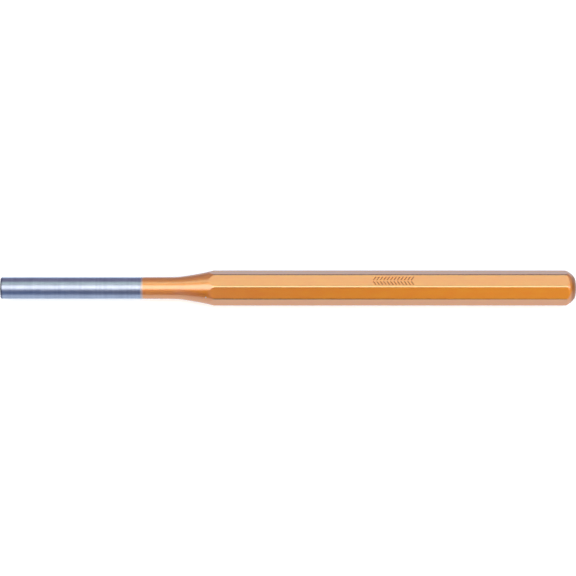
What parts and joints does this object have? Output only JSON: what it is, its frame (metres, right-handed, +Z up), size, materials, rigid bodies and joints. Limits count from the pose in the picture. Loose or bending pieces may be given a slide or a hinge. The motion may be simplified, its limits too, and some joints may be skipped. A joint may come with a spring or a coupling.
{
  "type": "parallel pin punch",
  "caption": "Hand punch with a straight flat-ended pin, a flared neck and a lacquered octagonal shank with a crowned head, for driving out pins and bolts.",
  "frame": {"origin": "centre of the flat tip, on the tool's axis", "axes": "+X along the tool's axis from the tip to the struck head, +Z up out of the marked flat; the tool lies on the opposite flat, so its axis is 6 mm above what it rests on"},
  "size_m": [0.21, 0.012, 0.012],
  "materials": {
    "tool_steel": "satin",
    "copper_gold_lacquer": "satin"
  },
  "bodies": {
    "root": {"steel_punch": "tool_steel", "lacquer_coat": "copper_gold_lacquer"}
  },
  "joints": []
}
